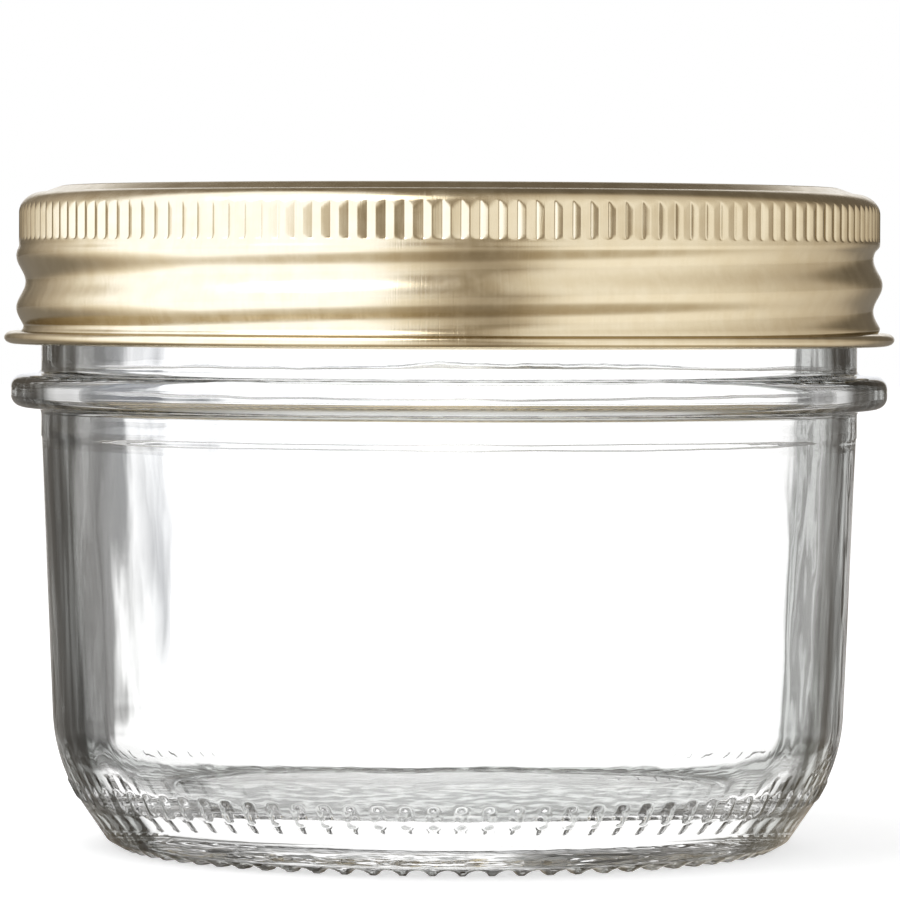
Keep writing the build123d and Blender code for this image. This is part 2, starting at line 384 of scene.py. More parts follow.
def makeRipple():
    # Slow unevenness of pressed glass, drawn out along the axis
    maker, given, result = newTree("ripple", "GeometryNodeTree", {
        "Turns": 0.0,
        "Height": 0.0,
        "Mask": 0.0,
        "Depth": 0.0001,
        "Around": 3.0,
        "Along": 20.0,
        "Seed": 0.0,
    }, {"Rise": floatKind})
    angle = maker.math("MULTIPLY", given["Turns"], math.tau)
    place = maker.join(
        maker.math("MULTIPLY", maker.math("COSINE", angle), given["Around"]),
        maker.math("MULTIPLY", maker.math("SINE", angle), given["Around"]),
        maker.math("MULTIPLY", given["Height"], given["Along"]),
    )
    sockets = {"Vector": place, "W": given["Seed"], "Scale": 1.0, "Detail": 1.5}
    wave = maker.add("ShaderNodeTexNoise", sockets, noise_dimensions="4D").outputs[0]
    depth = maker.math("MULTIPLY", maker.math("MULTIPLY", given["Depth"], given["Mask"]), 2.0)
    maker.link(maker.math("MULTIPLY", maker.math("SUBTRACT", wave, 0.5), depth), result["Rise"])
    return maker.tree


turnedGrid = makeTurnedGrid()
turnedSkin = makeTurnedSkin()
rolledGroove = makeRolledGroove()
threadRidge = makeThreadRidge()
knurls = makeKnurls()
arcRow = makeArcRow()
ripple = makeRipple()
print("relief groups made")


def makePieceTree(name, inputs, reliefs):
    # reliefs(maker, given, turned) gives the new radius and height
    maker, given, result = newTree(name, "GeometryNodeTree", {
        "Outline": ("NodeSocketGeometry", None),
        "Columns": ("NodeSocketInt", 360),
        "Crowd Count": 1.0,
        "Crowding": 0.0,
        "Knurl Lean": 0.0,
        "Start Angle": 0.0,
        **inputs,
        "Material": ("NodeSocketMaterial", None),
    }, {"Piece": "NodeSocketGeometry"})
    turned = useGroup(maker, turnedGrid, {
        socket: given[socket] for socket in ("Outline", "Columns", "Crowd Count", "Crowding")
    })
    radius, height = reliefs(maker, given, turned)
    skin = useGroup(maker, turnedSkin, {
        "Grid": turned["Grid"],
        "Turns": turned["Turns"],
        "Radius": radius,
        "Height": height,
        "Start Angle": given["Start Angle"],
        "Knurl Count": given["Crowd Count"],
        "Knurl Lean": given["Knurl Lean"],
        "Material": given["Material"],
    })
    maker.link(skin[0], result["Piece"])
    return maker.tree


def meshVolume(mesh):
    mesh.calc_loop_triangles()
    total = 0.0
    for triangle in mesh.loop_triangles:
        a, b, c = (mesh.vertices[n].co for n in triangle.vertices)
        total += a.dot(b.cross(c)) / 6
    return total


def bakeTree(piece, tree, values):
    # Sets the inputs by identifier, keeps the result as a plain mesh and drops the modifier
    modifier = piece.modifiers.new("shape", "NODES")
    modifier.node_group = tree
    for item in tree.interface.items_tree:
        if item.item_type == "SOCKET" and item.in_out == "INPUT" and item.name in values:
            modifier[item.identifier] = values[item.name]
    bpy.context.view_layer.update()
    evaluated = piece.evaluated_get(bpy.context.evaluated_depsgraph_get())
    mesh = bpy.data.meshes.new_from_object(evaluated)
    mesh.name = piece.name
    piece.modifiers.remove(modifier)
    piece.data = mesh
    volume = meshVolume(mesh)
    if volume < 0:
        mesh.flip_normals()
    print(piece.name, "triangles", len(mesh.loop_triangles), "volume in ml", round(abs(volume) * 1e6, 2))


def finishPiece(piece, tree, values, node):
    bakeTree(piece, tree, values)
    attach(piece, nodeBody[node])
    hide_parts(node)


# Materials

def newMaterial(name):
    material = bpy.data.materials.new(name)
    material.use_nodes = True
    material.node_tree.nodes.clear()
    maker = TreeMaker(material.node_tree)
    shader = maker.add("ShaderNodeBsdfPrincipled")
    output = maker.add("ShaderNodeOutputMaterial")
    maker.link(shader.outputs[0], output.inputs["Surface"])
    place = maker.add("ShaderNodeTexCoord").outputs["Object"]
    return material, maker, shader.inputs, place


wearSizes = {
    "grainAround": 0.05,
    "grainStretch": (5200.0, 1.0, 90.0),
    "cloudScale": 420.0,
    "scratchTurn": (0.0, math.radians(48), 0.0),
    "scratchStretch": (900.0, 60.0, 36.0),
    "scratchWidth": 0.02,
    "scratchDepth": 0.8,
    "wornScale": 130.0,
    "wornEdge": (0.46, 0.62),
    "pitScale": 190.0,
    "pitEdge": (0.03, 0.07),
    "pitChosen": (0.955, 0.965),
}


def makeSheetWear(sizes):
    # Rolled grain, fine scratches and pits of a lacquered sheet
    maker, given, result = newTree("sheetWear", "ShaderNodeTree", {
        "Position": ("NodeSocketVector", None),
        "Grain": 1.0,
        "Scratches": 1.0,
        "Pits": 1.0,
    }, {"Height": floatKind, "Shade": floatKind, "Pit": floatKind})
    place = given["Position"]
    parts = maker.split(place)
    turn = maker.math("ARCTAN2", parts[1], parts[0])

    # Grain runs up and down the skirt, and outwards across the panel
    around = maker.join(maker.math("MULTIPLY", turn, sizes["grainAround"]), 0.0, parts[2])
    grain = maker.noise(maker.stretch(around, sizes["grainStretch"]), 1.0, 3.0)
    grainHeight = maker.math("MULTIPLY", maker.math("SUBTRACT", grain, 0.5), given["Grain"])
    cloud = maker.noise(place, sizes["cloudScale"], 4.0)

    # Slanting scratches: thin lines where a stretched noise crosses its middle
    lines = maker.noise(maker.stretch(place, sizes["scratchStretch"], sizes["scratchTurn"]), 1.0, 1.0)
    thin = maker.math("ABSOLUTE", maker.math("SUBTRACT", lines, 0.5))
    worn = maker.ramp(maker.noise(place, sizes["wornScale"], 1.0), *sizes["wornEdge"])
    scratch = maker.math("MULTIPLY", maker.ramp(thin, 0.0, sizes["scratchWidth"], 1.0, 0.0), worn)
    scratch = maker.math("MULTIPLY", scratch, given["Scratches"])

    cells = maker.add("ShaderNodeTexVoronoi", {"Vector": place, "Scale": sizes["pitScale"]}).outputs
    chosen = maker.add("ShaderNodeSeparateColor", {0: cells["Color"]}).outputs[0]
    near = maker.ramp(cells["Distance"], *sizes["pitEdge"], 1.0, 0.0)
    pit = maker.math("MULTIPLY", near, maker.ramp(chosen, *sizes["pitChosen"]))
    pit = maker.math("MULTIPLY", pit, given["Pits"])

    halfGrain = maker.math("MULTIPLY", grainHeight, 0.5)
    height = maker.math("SUBTRACT", grainHeight, maker.math("MULTIPLY", scratch, sizes["scratchDepth"]))
    maker.link(maker.math("SUBTRACT", height, pit), result["Height"])
    maker.link(maker.math("ADD", halfGrain, maker.math("SUBTRACT", cloud, 0.5)), result["Shade"])
    maker.link(pit, result["Pit"])
    return maker.tree


sheetWear = makeSheetWear(wearSizes)

goldFinish = {
    "pale": (0.83, 0.72, 0.51, 1.0),
    "deep": (0.75, 0.63, 0.42, 1.0),
    "colorSpan": (-0.35, 0.35),
    "pit": (0.05, 0.04, 0.03, 1.0),
    "pitMetal": 0.2,
    "roughness": 0.20,
    "roughSpan": (-0.4, 0.4),
    "roughSpread": (-0.06, 0.07),
    "topBelow": (0.00015, 0.00005),
    # painted shade: the lid's flat top is dimmed to this share of its colour
    "topPaintedShade": 0.72,
    "topDull": 0.28,
    "grain": 0.8,
    "scratches": 0.8,
    "pits": 1.0,
    "bump": 0.4,
    "bumpDepth": 0.00001,
}


def makeGoldLacquer(name, finish):
    material, maker, shader, place = newMaterial(name)
    wear = useGroup(maker, sheetWear, {
        "Position": place,
        "Grain": finish["grain"],
        "Scratches": finish["scratches"],
        "Pits": finish["pits"],
    })
    body = maker.blend(maker.ramp(wear["Shade"], *finish["colorSpan"]), finish["deep"], finish["pale"])
    body = maker.blend(wear["Pit"], body, finish["pit"])
    # The lid's flat top carries painted shade: its colour is dimmed so that it does not wash out under the
    # light from above. It is also duller than the worked sheet round it
    onTop = maker.ramp(maker.split(place)[2], *(lidHigh.z - below for below in finish["topBelow"]))
    # painted shade on the flat top: the base colour is scaled down there
    depth = maker.math("MULTIPLY_ADD", onTop, finish["topPaintedShade"] - 1.0, 1.0)
    maker.link(maker.dim(body, depth), shader["Base Color"])
    roughEnds = [finish["roughness"] + spread for spread in finish["roughSpread"]]
    rough = maker.ramp(wear["Shade"], *finish["roughSpan"], *roughEnds)
    maker.link(maker.math("MULTIPLY_ADD", onTop, finish["topDull"], rough), shader["Roughness"])
    maker.link(maker.ramp(wear["Pit"], 0.0, 1.0, 1.0, finish["pitMetal"]), shader["Metallic"])
    maker.link(maker.bump(wear["Height"], finish["bump"], finish["bumpDepth"]), shader["Normal"])
    return material


glassFinish = {
    "clear": (1.0, 1.0, 1.0, 1.0),
    "tinted": (0.985, 0.992, 0.988, 1.0),
    "cloudScale": 35.0,
    "tintSpan": (0.3, 0.7),
    "roughSpan": (0.35, 0.8),
    "roughest": 0.02,
    "peelStretch": (240.0, 240.0, 70.0),
    "bump": 0.25,
    "bumpDepth": 0.00008,
    # painted shade: the dark and pale colours that the glass's edges are darkened to
    "paintedEdgeDark": (0.03, 0.032, 0.031, 1.0),
    "paintedEdgePale": (0.36, 0.38, 0.37, 1.0),
    "edgeStart": 0.56,
    "edgeWidth": 0.08,
    "edgeWander": 0.20,
    "edgeEnd": 0.82,
    "edgeLeft": 0.35,
    "wanderStretch": (150.0, 150.0, 26.0),
    "streakStretch": (420.0, 420.0, 34.0),
    "streakSpan": (0.42, 0.66),
    "indexOfRefraction": 1.52,
}


def makeClearGlass(name, finish):
    material, maker, shader, place = newMaterial(name)
    shader["Transmission Weight"].default_value = 1.0
    shader["Metallic"].default_value = 0.0
    shader["IOR"].default_value = finish["indexOfRefraction"]
    cloud = maker.noise(place, finish["cloudScale"])
    body = maker.blend(maker.ramp(cloud, *finish["tintSpan"]), finish["clear"], finish["tinted"])
    maker.link(maker.ramp(cloud, *finish["roughSpan"], 0.0, finish["roughest"]), shader["Roughness"])
    peel = maker.noise(maker.stretch(place, finish["peelStretch"]))
    bump = maker.bump(peel, finish["bump"], finish["bumpDepth"])
    maker.link(bump, shader["Normal"])

    # Painted shade at the glass's edges: where the surface turns away from view, its facing darkens the base
    # colour, in streaks that follow the uneven glass, and lets it lighten again at the very rim. It stands in
    # for the dark surroundings that the edges show
    facing = maker.add("ShaderNodeLayerWeight", {"Blend": 0.5, "Normal": bump}).outputs["Facing"]
    wander = maker.math("SUBTRACT", maker.noise(maker.stretch(place, finish["wanderStretch"])), 0.5)
    slant = maker.math("ADD", facing, maker.math("MULTIPLY", wander, finish["edgeWander"]))
    paintedEdgeShade = maker.ramp(slant, finish["edgeStart"], finish["edgeStart"] + finish["edgeWidth"])
    left = maker.ramp(slant, finish["edgeEnd"], 1.0, 1.0, finish["edgeLeft"])
    paintedShadeStreak = maker.ramp(maker.noise(maker.stretch(place, finish["streakStretch"])), *finish["streakSpan"])
    edge = maker.blend(paintedShadeStreak, finish["paintedEdgeDark"], finish["paintedEdgePale"])
    maker.link(maker.blend(maker.math("MULTIPLY", paintedEdgeShade, left), body, edge), shader["Base Color"])
    return material


compoundFinish = {
    "pale": (0.72, 0.69, 0.62, 1.0),
    "deep": (0.58, 0.55, 0.48, 1.0),
    "cloudScale": 260.0,
    "roughEnds": (0.52, 0.72),
    "bump": 0.3,
    "bumpDepth": 0.0001,
}


def makeCompound(name, finish):
    material, maker, shader, place = newMaterial(name)
    cloud = maker.noise(place, finish["cloudScale"], 5.0)
    body = maker.blend(maker.ramp(cloud, 0.35, 0.65), finish["deep"], finish["pale"])
    maker.link(body, shader["Base Color"])
    maker.link(maker.ramp(cloud, 0.3, 0.7, *finish["roughEnds"]), shader["Roughness"])
    maker.link(maker.bump(cloud, finish["bump"], finish["bumpDepth"]), shader["Normal"])
    return material


goldLacquer = makeGoldLacquer("goldLacquer", goldFinish)
clearGlass = makeClearGlass("clearGlass", glassFinish)
sealingCompound = makeCompound("sealingCompound", compoundFinish)
capsuleLacquer = makeGoldLacquer("capsuleLacquer", {
    **goldFinish,
    "pale": (0.80, 0.80, 0.79, 1.0),
    "deep": (0.72, 0.72, 0.70, 1.0),
    "roughness": 0.38,
    "scratches": 0.4,
})
print("materials made")


# Glass jar

jarSizes = {
    "neckRadius": ringHigh.x,
    "boreRadius": ringHigh.x - 0.003,
    "bodyTopRadius": ringHigh.x - 0.0001,
    "heelRadius": 0.0457,
    "heelHeight": 0.0098,
    "heelBend": 0.020,
    "footRadius": 0.0397,
    "footHeight": 0.0010,
    "footRound": 0.0007,
    "footStrip": 0.0015,
    "restOuter": 0.0379,
    "restInner": 0.0365,
    "restRound": 0.0005,
    "ringInner": 0.0345,
    "pushUp": 0.0022,
    "fluteCount": 72,
    "fluteDepth": 0.00075,
    "fluteWidth": 0.00265,
    "seamHeight": 0.0475,
    "seamStep": 0.00028,
    "beadBottom": 0.0508,
    "beadTop": 0.0550,
    "beadRadius": 0.0509,
    "beadDraft": 0.0003,
    "beadTip": 0.00151,
    "beadFoot": 0.0006,
    "aboveBead": 0.002,
    "rimOuterRound": 0.0009,
    "rimInnerRound": 0.0007,
    "rimDepth": 0.002,
    "boreBend": 0.02,
    "floorHeight": 0.0042,
    "innerHeelRadius": 0.0427,
    "innerHeelBend": 0.011,
    "barCount": 90,
    "barWidth": 0.0013,
    "barRise": 0.00018,
    "barLength": 0.0024,
    "barPlace": 0.66,
    "barEdge": 0.0002,
    "barRoom": 0.0005,
    "threadPitch": 0.006,
    "threadMiddle": jarTop - 0.0087,
    "threadRise": 0.0018,
    "threadHalfWidth": 0.28,
    "threadStart": -200 / 360,
    "threadEnd": 250 / 360,
    "threadFade": 45 / 360,
    "threadStrip": 0.0003,
    "innerRipple": 0.00022,
    "innerWaves": {"Around": 4.2, "Along": 34.0, "Seed": 3.0},
    "innerTop": jarTop - 0.006,
    "innerTopFade": 0.012,
    "innerFloorFade": 0.006,
    "floorRipple": 0.12,
    "calmMiddle": 0.02,
    "outerRipple": 0.00003,
    "outerWaves": {"Around": 7.0, "Along": 60.0, "Seed": 8.0},
    "outerTopFade": 0.004,
    "outerLow": 0.012,
    "outerLowFade": 0.006,
    "columns": 1080,
    "coarse": 4,
}

jarSpacing = {  # along straight runs, and the degrees between points round bends
    "ring": (0.0006, 20),
    "heel": (0.0013, 0.9),
    "finish": (0.001, 11),
    "neck": (0.00055, 18),
    "bore": (0.0016, 5),
}


def jarReliefs(maker, given, turned):
    mask = {
        name: rowValue(maker, given["Outline"], turned["Row"], name)
        for name in ("ridge", "flute", "bar", "inner", "outer", "outwards", "upwards")
    }
    place = {"Turns": turned["Turns"], "Height": turned["Height"]}

    def arcs(name):
        sizes = {part: given[name + " " + part] for part in ("Count", "Width", "Rise")}
        return useGroup(maker, arcRow, {"Turns": turned["Turns"], "Radius": turned["Radius"], **sizes})[0]

    def waves(maskName, depth, sizes):
        return useGroup(maker, ripple, {**place, "Mask": mask[maskName], "Depth": given[depth], **sizes})[0]

    threadParts = ("Pitch", "Middle", "Rise", "Half Width", "Start", "End", "Fade")
    thread = {part: given["Thread " + part] for part in threadParts}
    ridge = useGroup(maker, threadRidge, {**place, "Mask": mask["ridge"], **thread})[0]
    uneven = maker.math(
        "ADD",
        waves("inner", "Inner Ripple", jarSizes["innerWaves"]),
        waves("outer", "Outer Ripple", jarSizes["outerWaves"]),
    )
    out = maker.math("ADD", maker.math("MULTIPLY", arcs("Bar"), mask["bar"]), uneven)
    radius = maker.math("ADD", turned["Radius"], maker.math("MULTIPLY", out, mask["outwards"]))
    height = maker.math("ADD", turned["Height"], maker.math("MULTIPLY", out, mask["upwards"]))
    height = maker.math("MAXIMUM", height, maker.math("MULTIPLY", arcs("Flute"), mask["flute"]))
    return maker.math("ADD", radius, ridge), height


def jarRuns(sizes):
    foot = Vector((sizes["footRadius"], sizes["footHeight"]))
    heel = Vector((sizes["heelRadius"], sizes["heelHeight"]))
    slope = (heel - foot).normalized()
    barMiddle = (heel - foot).length * sizes["barPlace"]
    neckRadius, boreRadius = sizes["neckRadius"], sizes["boreRadius"]
    coarse = sizes["coarse"]

    def fromBar(point):
        return abs((point - foot).dot(slope) - barMiddle)

    def barMask(point):
        return smooth((sizes["barLength"] / 2 + sizes["barEdge"] - fromBar(point)) / (2 * sizes["barEdge"]))

    def heelSkip(point):
        return 1 if fromBar(point) < sizes["barLength"] / 2 + sizes["barRoom"] else coarse

    def dished(part):
        drop = (sizes["pushUp"] - sizes["footHeight"]) * part ** 2
        return Vector((sizes["ringInner"] * part, sizes["pushUp"] - drop))

    underside = [dished(n / 8) for n in range(9)]
    ring = roundedLine([
        underside[-1],
        (sizes["restInner"], 0.0, sizes["restRound"]),
        (sizes["restOuter"], 0.0, sizes["restRound"]),
        (foot.x, foot.y, sizes["footRound"]),
        foot + slope * sizes["footStrip"],
    ], *jarSpacing["ring"])
    heelLine = roundedLine([
        ring[-1],
        (heel.x, heel.y, sizes["heelBend"]),
        (sizes["bodyTopRadius"], sizes["seamHeight"]),
    ], *jarSpacing["heel"])
    finish = roundedLine([
        (neckRadius, sizes["seamHeight"] + sizes["seamStep"]),
        (neckRadius, sizes["beadBottom"], sizes["beadFoot"]),
        (sizes["beadRadius"], sizes["beadBottom"] + sizes["beadDraft"], sizes["beadTip"]),
        (sizes["beadRadius"], sizes["beadTop"] - sizes["beadDraft"], sizes["beadTip"]),
        (neckRadius, sizes["beadTop"], sizes["beadFoot"]),
        (neckRadius, sizes["beadTop"] + sizes["aboveBead"]),
    ], *jarSpacing["finish"])
    neck = roundedLine([
        finish[-1],
        (neckRadius, jarTop, sizes["rimOuterRound"]),
        (boreRadius, jarTop, sizes["rimInnerRound"]),
        (boreRadius, jarTop - sizes["rimDepth"]),
    ], *jarSpacing["neck"])
    bore = roundedLine([
        neck[-1],
        (boreRadius, sizes["beadBottom"], sizes["boreBend"]),
        (sizes["innerHeelRadius"], sizes["floorHeight"], sizes["innerHeelBend"]),
        (0.0, sizes["floorHeight"]),
    ], *jarSpacing["bore"])

    def ridgeMask(point):
        return 1 if point.x > neckRadius - sizes["threadStrip"] else 0

    def innerMask(point):
        # Full on the wall, faint on the floor and gone in its middle
        down = smooth((sizes["innerTop"] - point.y) / sizes["innerTopFade"])
        lift = smooth((point.y - sizes["floorHeight"]) / sizes["innerFloorFade"])
        calm = sizes["floorRipple"]
        return down * (calm + (1 - calm) * lift) * smooth(point.x / sizes["calmMiddle"])

    def outerMask(point):
        down = smooth((sizes["seamHeight"] - 0.001 - point.y) / sizes["outerTopFade"])
        return down * smooth((point.y - sizes["outerLow"]) / sizes["outerLowFade"])

    return [
        {"line": underside, "skip": coarse * 3},
        {"line": ring, "flute": 1, "skip": 1},
        {"line": heelLine, "bar": barMask, "skip": heelSkip, "outer": outerMask},
        {"line": finish, "skip": coarse},
        {"line": neck, "skip": coarse, "ridge": ridgeMask},
        {"line": bore, "skip": coarse, "inner": innerMask},
    ]


jarInputs = {
    "Thread Pitch": jarSizes["threadPitch"],
    "Thread Middle": jarSizes["threadMiddle"],
    "Thread Rise": jarSizes["threadRise"],
    "Thread Half Width": jarSizes["threadHalfWidth"],
    "Thread Start": jarSizes["threadStart"],
    "Thread End": jarSizes["threadEnd"],
    "Thread Fade": jarSizes["threadFade"],
    "Bar Count": float(jarSizes["barCount"]),
    "Bar Width": jarSizes["barWidth"],
    "Bar Rise": jarSizes["barRise"],
    "Flute Count": float(jarSizes["fluteCount"]),
    "Flute Width": jarSizes["fluteWidth"],
    "Flute Rise": jarSizes["fluteDepth"],
    "Inner Ripple": jarSizes["innerRipple"],
    "Outer Ripple": jarSizes["outerRipple"],
}
jarTree = makePieceTree("jarShape", jarInputs, jarReliefs)
glassJar = outlineObject("jarGlass", jarRuns(jarSizes), ("ridge", "flute", "bar", "inner", "outer"))
finishPiece(glassJar, jarTree, {
    **jarInputs,
    "Columns": jarSizes["columns"],
    "Material": clearGlass,
}, "glass_jar")
print("jar made")


# Screw lid

lidSizes = {
    "sheet": 0.00025,
    "panelTop": lidHigh.z,
    "panelRadius": 0.0450,
    "panelRound": 0.0025,
    "wallFoot": (0.0469, lidHigh.z - 0.00070),
    "wallRound": 0.0002,
    "innerWallRound": 0.0004,
    "shoulderMiddle": (0.0469, lidHigh.z - 0.00313),
    "shoulderHigh": 0.00243,
    "curlLift": 0.0002,
    "knurlRadius": 0.04995,
    "skirtRadius": 0.04972,
    "knurlBottom": lidLow.z + 0.01215,
    "grooveTop": lidLow.z + 0.0120,
    "grooveTopFade": 0.0010,
    "hemTop": lidLow.z + 0.00165,
    "hemFade": 0.0006,
    "hemFoot": 0.00023,
    "curlInner": 0.04945,
    "curlHeight": 0.0015,
    "curlSlit": 0.00012,
    "knurlCount": 153,
    "knurlDepth": 0.00029,
    "knurlLean": 0.07,
    "knurlRunUp": 0.0006,
    "crowding": 0.9,
    "startAngle": math.radians(-0.45),
    "grooveDepth": 0.00106,
    "grooveLower": 0.0002,
    "columnsToKnurl": 8,
}

lidSpacing = {  # along straight runs, and the degrees between points round bends
    "panel": (0.006, 2),
    "innerPanel": (0.006, 6),
    "skirt": 0.00032,
    "hem": 0.0004,
    "innerSkirt": 0.00055,
}

shoulderRuns = {  # from one angle to another in so many steps
    "bare": (86, 30, 10),
    "knurled": (26, 0, 7),
    "innerKnurled": (0, 27, 3),
    "innerBare": (31, 80, 5),
}


def lidReliefs(maker, given, turned):
    def rows(name):
        return rowValue(maker, given["Outline"], turned["Row"], name)

    groove = useGroup(maker, rolledGroove, {
        "Turns": turned["Turns"],
        "Height": turned["Height"],
        "Mask": rows("wave"),
        "Pitch": given["Thread Pitch"],
        "Middle": given["Thread Middle"],
        "Depth": given["Groove Depth"],
    })[0]
    pressed = useGroup(maker, knurls, {
        "Turns": turned["Turns"],
        "Mask": rows("knurl"),
        "Count": given["Crowd Count"],
        "Depth": given["Knurl Depth"],
    })[0]
    inset = maker.math("ADD", groove, pressed)
    return maker.math("SUBTRACT", turned["Radius"], inset), turned["Height"]


def lidRuns(sizes):
    sheet = sizes["sheet"]
    halfWide = (lidHigh.x - sizes["curlInner"]) / 2
    halfHigh = sizes["curlHeight"] / 2
    curlMiddle = (lidHigh.x - halfWide, lidLow.z + sizes["curlLift"] + halfHigh)
    slitRadius = sizes["skirtRadius"] + sizes["curlSlit"]
    middle = sizes["shoulderMiddle"]
    shoulderWide = sizes["knurlRadius"] - middle[0]

    def ellipseAngle(radius, across):
        return math.degrees(math.acos((radius - curlMiddle[0]) / across))

    def waveMask(point):
        fromTop = (sizes["grooveTop"] - point.y) / sizes["grooveTopFade"]
        return smooth(min((point.y - sizes["hemTop"]) / sizes["hemFade"], fromTop))

    def knurlMask(point, inset=0.0):
        # The knurls end where the shoulder draws back to their bottoms, and run up round at the foot
        above = 1 - (sizes["knurlRadius"] - inset - point.x) / sizes["knurlDepth"]
        rise = min(max((point.y - sizes["knurlBottom"]) / sizes["knurlRunUp"], 0.0), 1.0)
        return max(min(above, math.sqrt(rise * (2 - rise))), 0.0)

    def innerKnurlMask(point):
        return knurlMask(point, sheet)

    def shoulder(inset, run):
        return ellipseLine(middle, shoulderWide - inset, sizes["shoulderHigh"] - inset, *shoulderRuns[run])

    def runUp(inset, parts):
        radius = sizes["knurlRadius"] - inset
        return [Vector((radius, sizes["knurlBottom"] + sizes["knurlRunUp"] * part)) for part in parts]

    def drawnIn(inset):
        # From the knurled band to the skirt's middle radius
        top, low = sizes["grooveTop"], sizes["grooveTop"] - sizes["grooveTopFade"]
        wide, narrow = sizes["knurlRadius"] - inset, sizes["skirtRadius"] - inset
        return [Vector((wide + (narrow - wide) * smooth(n / 6), top + (low - top) * n / 6)) for n in range(7)]

    upper = shoulder(0.0, "bare")
    panel = roundedLine([
        (0.0, sizes["panelTop"]),
        (sizes["panelRadius"], sizes["panelTop"], sizes["panelRound"]),
        (*sizes["wallFoot"], sizes["wallRound"]),
        upper[0],
    ], *lidSpacing["panel"])
    knurled = shoulder(0.0, "knurled") + runUp(0.0, (1, 0.55, 0.25, 0.07, 0))
    skirt = drawnIn(0.0)
    addRun(skirt, Vector((sizes["skirtRadius"], sizes["hemTop"])), lidSpacing["skirt"])
    hemEnd = (sizes["skirtRadius"], curlMiddle[1] + sizes["hemFoot"])
    hem = roundedLine([skirt[-1], hemEnd], lidSpacing["hem"])
    innerStart = ellipseAngle(sizes["skirtRadius"], halfWide - sheet)
    innerEnd = ellipseAngle(slitRadius, halfWide - sheet)
    roll = ellipseLine(curlMiddle, halfWide - sheet, halfHigh - sheet, innerStart, 360 + innerEnd, 16)
    curl = ellipseLine(curlMiddle, halfWide, halfHigh, ellipseAngle(slitRadius, halfWide), -180, 22)
    innerSkirt = [Vector((sizes["curlInner"], curlMiddle[1]))]
    addRun(innerSkirt, Vector((sizes["curlInner"], sizes["hemTop"])), lidSpacing["innerSkirt"])
    addRun(innerSkirt, drawnIn(sheet)[-1], lidSpacing["innerSkirt"])
    innerSkirt += drawnIn(sheet)[::-1]
    innerKnurled = runUp(sheet, (0, 0.25, 1)) + shoulder(sheet, "innerKnurled")
    innerUpper = shoulder(sheet, "innerBare")
    innerPanel = roundedLine([
        innerUpper[-1],
        (sizes["wallFoot"][0] - sheet / 2, sizes["wallFoot"][1] - sheet, sizes["innerWallRound"]),
        (sizes["panelRadius"] - sheet / 2, sizes["panelTop"] - sheet, sizes["panelRound"]),
        (0.0, sizes["panelTop"] - sheet),
    ], *lidSpacing["innerPanel"])
    return [
        {"line": panel + upper, "skip": 4},
        {"line": knurled, "knurl": knurlMask, "skip": 1},
        {"line": skirt, "wave": waveMask, "skip": 4},
        {"line": hem + roll + curl, "skip": 4},
        {"line": innerSkirt, "wave": waveMask, "skip": 4},
        {"line": innerKnurled, "knurl": innerKnurlMask, "skip": 1},
        {"line": innerUpper + innerPanel, "skip": 8},
    ]


lidInputs = {
    "Crowd Count": float(lidSizes["knurlCount"]),
    "Crowding": lidSizes["crowding"],
    "Knurl Lean": lidSizes["knurlLean"],
    "Start Angle": lidSizes["startAngle"],
    "Thread Pitch": jarSizes["threadPitch"],
    "Thread Middle": jarSizes["threadMiddle"] - lidSizes["grooveLower"],
    "Groove Depth": lidSizes["grooveDepth"],
    "Knurl Depth": lidSizes["knurlDepth"],
}
lidTree = makePieceTree("lidShape", lidInputs, lidReliefs)
screwLid = outlineObject("lidSheet", lidRuns(lidSizes), ("wave", "knurl"))
finishPiece(screwLid, lidTree, {
    **lidInputs,
    "Columns": lidSizes["knurlCount"] * lidSizes["columnsToKnurl"],
    "Material": goldLacquer,
}, "screw_lid")
print("lid made")


# Sealing capsule and its ring of compound

capsuleSizes = {
    "sheet": 0.00025,
    "sink": 0.0008,
    "panelRadius": 0.0434,
    "channelInner": 0.0444,
    "channelRound": 0.0004,
    "corner": 0.0010,
    "spacing": (0.003, 15),
    "columns": 360,
}

ringSizes = {
    "wide": 0.003,
    "topRound": 0.0004,
    "round": 0.0002,
    "spacing": (0.001, 22),
}


def plainReliefs(maker, given, turned):
    return turned["Radius"], turned["Height"]


def capsuleRuns(sizes):
    def face(inset, rounding, corner):
        top, edge = capsuleHigh.z - inset, capsuleHigh.x - inset
        return [
            (0.0, top - sizes["sink"]),
            (sizes["panelRadius"] - inset, top - sizes["sink"], rounding),
            (sizes["channelInner"] - inset, top, rounding),
            (edge, top, corner),
            (edge, capsuleLow.z),
        ]

    sheet = sizes["sheet"]
    upper = roundedLine(face(0.0, sizes["channelRound"], sizes["corner"]), *sizes["spacing"])
    under = face(sheet, sizes["channelRound"] - 0.0001, sizes["corner"] - sheet)
    return [{"line": upper + roundedLine(under[::-1], *sizes["spacing"])}]


def ringRuns(sizes):
    low, high, outer = ringLow.z, ringHigh.z, ringHigh.x
    inner = outer - sizes["wide"]
    middle = (low + high) / 2
    return [{"line": roundedLine([
        (inner, middle),
        (inner, low, sizes["round"]),
        (outer, low, sizes["round"]),
        (outer, high, sizes["topRound"]),
        (inner, high, sizes["round"]),
        (inner, middle),
    ], *sizes["spacing"])}]


plainTree = makePieceTree("plainTurned", {}, plainReliefs)
capsule = outlineObject("capsuleSheet", capsuleRuns(capsuleSizes), ())
finishPiece(capsule, plainTree, {
    "Columns": capsuleSizes["columns"],
    "Material": capsuleLacquer,
}, "sealing_disc")
compoundRing = outlineObject("compoundRing", ringRuns(ringSizes), ())
finishPiece(compoundRing, plainTree, {
    "Columns": capsuleSizes["columns"],
    "Material": sealingCompound,
}, "sealing_ring")
print("capsule made")


# Studio: floor, world, lamp and camera

